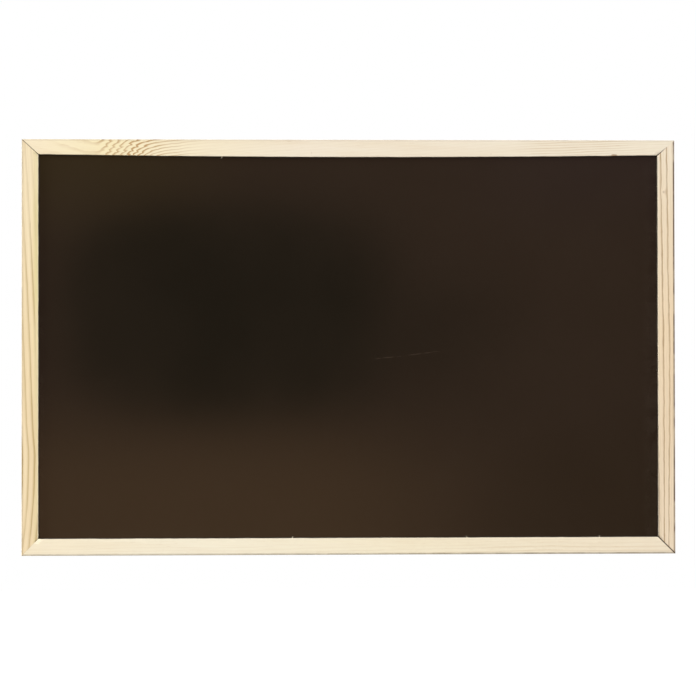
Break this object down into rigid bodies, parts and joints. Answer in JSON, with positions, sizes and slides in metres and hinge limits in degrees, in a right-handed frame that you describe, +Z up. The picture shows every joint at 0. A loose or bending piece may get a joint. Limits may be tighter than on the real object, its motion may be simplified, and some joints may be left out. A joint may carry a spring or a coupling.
{
  "type": "wall chalkboard",
  "caption": "Landscape chalkboard: a dark writing sheet set in a mitred bare pine frame, hung on the wall by two swinging rings behind its stiles.",
  "frame": {"origin": "on the wall plane, midway between the two wall hooks, level with where the raised rings bear on them", "axes": "+X to the right of someone facing the board, +Y into the wall, +Z up; the writing side faces -Y"},
  "size_m": [0.63, 0.0195, 0.4],
  "materials": {
    "pine": "bare planed softwood, unsealed",
    "chalk_black": "brown-black writing surface with a soft sheen",
    "hardboard": "raw brown pressed fibre board",
    "zinc_plate": "zinc-plated steel",
    "bright_steel": "bright cut steel strip",
    "pad_rubber": "pale soft rubber"
  },
  "bodies": {
    "board": {"top_rail": "pine", "bottom_rail": "pine", "left_stile": "pine", "right_stile": "pine", "writing_sheet": "chalk_black", "backing_board": "hardboard", "panel_point_top_1": "bright_steel", "panel_point_top_2": "bright_steel", "panel_point_top_3": "bright_steel", "panel_point_top_4": "bright_steel", "panel_point_bottom_1": "bright_steel", "panel_point_bottom_2": "bright_steel", "panel_point_bottom_3": "bright_steel", "panel_point_bottom_4": "bright_steel", "panel_point_left_1": "bright_steel", "panel_point_left_2": "bright_steel", "panel_point_left_3": "bright_steel", "panel_point_right_1": "bright_steel", "panel_point_right_2": "bright_steel", "panel_point_right_3": "bright_steel", "mitre_nail_top_left_1": "bright_steel", "mitre_nail_top_left_2": "bright_steel", "mitre_nail_top_right_1": "bright_steel", "mitre_nail_top_right_2": "bright_steel", "mitre_nail_bottom_left_1": "bright_steel", "mitre_nail_bottom_left_2": "bright_steel", "mitre_nail_bottom_right_1": "bright_steel", "mitre_nail_bottom_right_2": "bright_steel", "hanger_strap_left": "zinc_plate", "hanger_strap_right": "zinc_plate", "hanger_screw_left": "zinc_plate", "hanger_screw_right": "zinc_plate", "wall_pad_left": "pad_rubber", "wall_pad_right": "pad_rubber"},
    "left_ring": {"hanger_ring_left": "zinc_plate"},
    "right_ring": {"hanger_ring_right": "zinc_plate"}
  },
  "joints": [
    {"name": "left_ring_swing", "type": "hinge", "parent": "board", "child": "left_ring", "pos_m": [-0.3082, -0.00225, -0.00915], "axis": [-1, 0, 0], "range_deg": [0, 165]},
    {"name": "right_ring_swing", "type": "hinge", "parent": "board", "child": "right_ring", "pos_m": [0.3082, -0.00225, -0.00915], "axis": [-1, 0, 0], "range_deg": [0, 165]}
  ]
}
